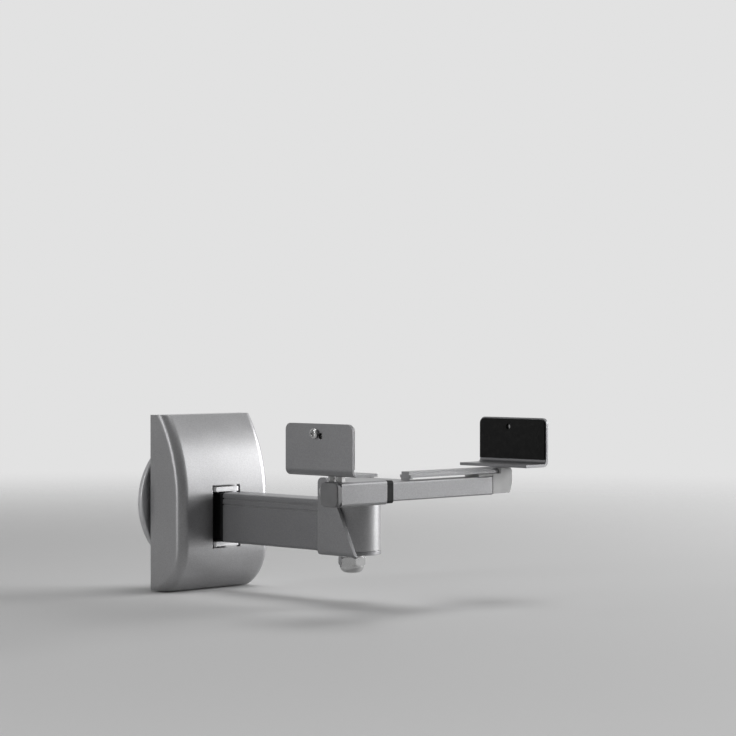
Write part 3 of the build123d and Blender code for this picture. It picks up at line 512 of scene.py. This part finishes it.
# Floor that fades with distance into the backdrop and hides nothing from below
FLOOR_GAP = 0.001
FLOOR_SIZE = 40.0
FLOOR_FADE = (0.3, 1.7)
FLOOR_ROUGHNESS = 0.7
floor_z = cad_box[0][2] - FLOOR_GAP
bpy.ops.mesh.primitive_plane_add(size=FLOOR_SIZE, location=(0, 0, floor_z))
floor = bpy.context.object
floor.name = "studio_floor"
floor_material = bpy.data.materials.new("studio_floor_finish")
floor_material.use_nodes = True
floor_tree = floor_material.node_tree
floor_shader = floor_tree.nodes["Principled BSDF"]
floor_geometry = add_node(floor_tree, "ShaderNodeNewGeometry")
floor_reach = add_node(floor_tree, "ShaderNodeVectorMath", operation="LENGTH")
floor_tree.links.new(floor_geometry.outputs["Position"], floor_reach.inputs[0])
floor_fade = map_range(floor_tree, floor_reach.outputs["Value"], FLOOR_FADE, FADING)
floor_fade.node.interpolation_type = "SMOOTHSTEP"
floor_front = math_node(floor_tree, "SUBTRACT", 1.0, floor_geometry.outputs["Backfacing"])
floor_alpha = math_node(floor_tree, "MULTIPLY", floor_fade, floor_front)
floor_tree.links.new(floor_alpha, floor_shader.inputs["Alpha"])
floor_color = mixed_color(floor_tree, seen_directly(floor_tree), FLOOR_BOUNCE, FLOOR)
floor_tree.links.new(floor_color, floor_shader.inputs["Base Color"])
floor_shader.inputs["Roughness"].default_value = FLOOR_ROUGHNESS
floor.data.materials.append(floor_material)

# Heading of the camera, which is level apart from a slight pitch
CAMERA_HEADING = (0.7108, 0.7034)

# World light, brightest on the far side of the object
WORLD_LEVEL = (0.2, 0.8)
WORLD_SPAN = (-0.2, 0.9)
WORLD_FILL = (0.2, 1.0)
world = bpy.data.worlds.new("studio_world")
world.use_nodes = True
world_tree = world.node_tree
background = world_tree.nodes["Background"]
background.inputs["Color"].default_value = (*BACKDROP, 1.0)
direction = add_node(world_tree, "ShaderNodeTexCoord").outputs["Generated"]
facing = add_node(world_tree, "ShaderNodeVectorMath", operation="DOT_PRODUCT")
facing.inputs[1].default_value = (*CAMERA_HEADING, 0.0)
world_tree.links.new(direction, facing.inputs[0])
level = map_range(world_tree, facing.outputs["Value"], WORLD_SPAN, WORLD_LEVEL)
fill = map_range(world_tree, seen_directly(world_tree), WHOLE, WORLD_FILL)
world_tree.links.new(math_node(world_tree, "MULTIPLY", level, fill), background.inputs["Strength"])
scene.world = world

# Soft lights, all of which face the middle of the object
MIDDLE = (0.0, -0.15, 0.0)


def soft_light(name, place, width, height, power):
    """Soft light at a place, of a width and height in metres and a power in watts."""
    lamp = bpy.data.lights.new(name, "AREA")
    lamp.shape = "RECTANGLE"
    lamp.size = width
    lamp.size_y = height
    lamp.energy = power
    holder = bpy.data.objects.new(name, lamp)
    holder.location = place
    holder.rotation_euler = (Vector(MIDDLE) - Vector(place)).to_track_quat("-Z", "Y").to_euler()
    scene.collection.objects.link(holder)


soft_light("key_light", place=(2.0, -0.95, 0.5), width=1.1, height=1.1, power=38.0)
soft_light("front_light", place=(1.45, -1.75, 0.25), width=0.8, height=0.8, power=1.5)
soft_light("top_light", place=(0.2, -0.3, 1.7), width=1.0, height=1.0, power=9.0)
soft_light("rim_light", place=(-1.4, 0.45, 0.25), width=0.28, height=1.3, power=5.0)

# Camera at the photograph's viewpoint
IMAGE_WIDTH = 736.0
SENSOR = 36.0
FOCAL_PIXELS = 2307.0
HORIZON_ROW = 348.0
CAMERA_PLACE = (-1.136, -1.3125, 0.1136)
pitch = math.atan((IMAGE_WIDTH / 2 - HORIZON_ROW) / FOCAL_PIXELS)
look = Vector((*CAMERA_HEADING, -math.tan(pitch)))
camera_data = bpy.data.cameras.new("photo_camera")
camera_data.sensor_width = SENSOR
camera_data.lens = SENSOR * FOCAL_PIXELS / IMAGE_WIDTH
camera = bpy.data.objects.new("photo_camera", camera_data)
camera.location = CAMERA_PLACE
camera.rotation_euler = look.to_track_quat("-Z", "Y").to_euler()
scene.collection.objects.link(camera)
scene.camera = camera

scene.view_settings.view_transform = "Standard"
